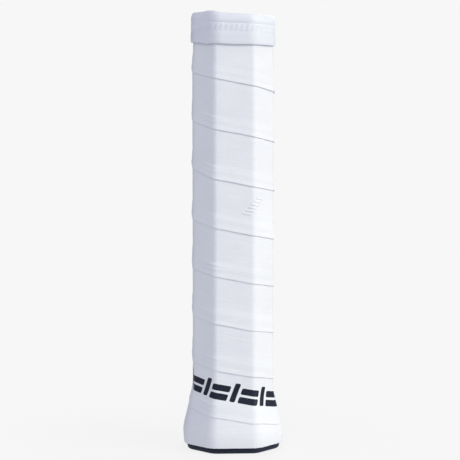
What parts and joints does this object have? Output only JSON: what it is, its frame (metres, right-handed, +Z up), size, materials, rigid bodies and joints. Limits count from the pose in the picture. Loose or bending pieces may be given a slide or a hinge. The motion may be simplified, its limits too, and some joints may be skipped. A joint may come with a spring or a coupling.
{
  "type": "grip tape wound on a racket handle",
  "caption": "Eight-sided racket handle end wound with overlapping white grip tape, with a rubber collar at the top and a flared dark butt cap with a trap door.",
  "frame": {"origin": "middle of the butt end, in the plane that the butt cap's rim stands on", "axes": "+Z up the handle from the butt, +X across the handle's wide way, -Y towards the front flat"},
  "size_m": [0.0453, 0.0418, 0.1971],
  "materials": {
    "carbon_tube": "satin carbon laminate",
    "plug_foam": "closed-cell foam",
    "pallet_foam": "rigid moulded foam",
    "adhesive_tape": "matte tape",
    "cap_nylon": "moulded, satin",
    "door_nylon": "moulded, fine texture",
    "staple_steel": "galvanised wire",
    "base_grip_foam": "cushioned synthetic leather",
    "finishing_tape": "smooth tape",
    "white_grip_tape": "soft matte polyurethane film",
    "collar_rubber": "translucent silicone rubber"
  },
  "bodies": {
    "handle": {"shaft_tube_left": "carbon_tube", "shaft_tube_right": "carbon_tube", "tube_plug_left": "plug_foam", "tube_plug_right": "plug_foam", "pallet_front": "pallet_foam", "pallet_back": "pallet_foam", "pallet_adhesive": "adhesive_tape", "butt_cap": "cap_nylon", "butt_cap_staples": "staple_steel", "base_grip": "base_grip_foam", "base_grip_staple": "staple_steel", "base_grip_finishing_tape": "finishing_tape", "grip_tape": "white_grip_tape", "grip_tape_start_tab": "adhesive_tape"},
    "collar": {"collar": "collar_rubber"},
    "door": {"butt_cap_door": "door_nylon"}
  },
  "joints": [
    {"name": "collar_slide", "type": "slide", "parent": "handle", "child": "collar", "axis": [0, 0, 1], "range_m": [0, 0.025]},
    {"name": "door_pull", "type": "slide", "parent": "handle", "child": "door", "axis": [0, 0, -1], "range_m": [0, 0.02]}
  ]
}
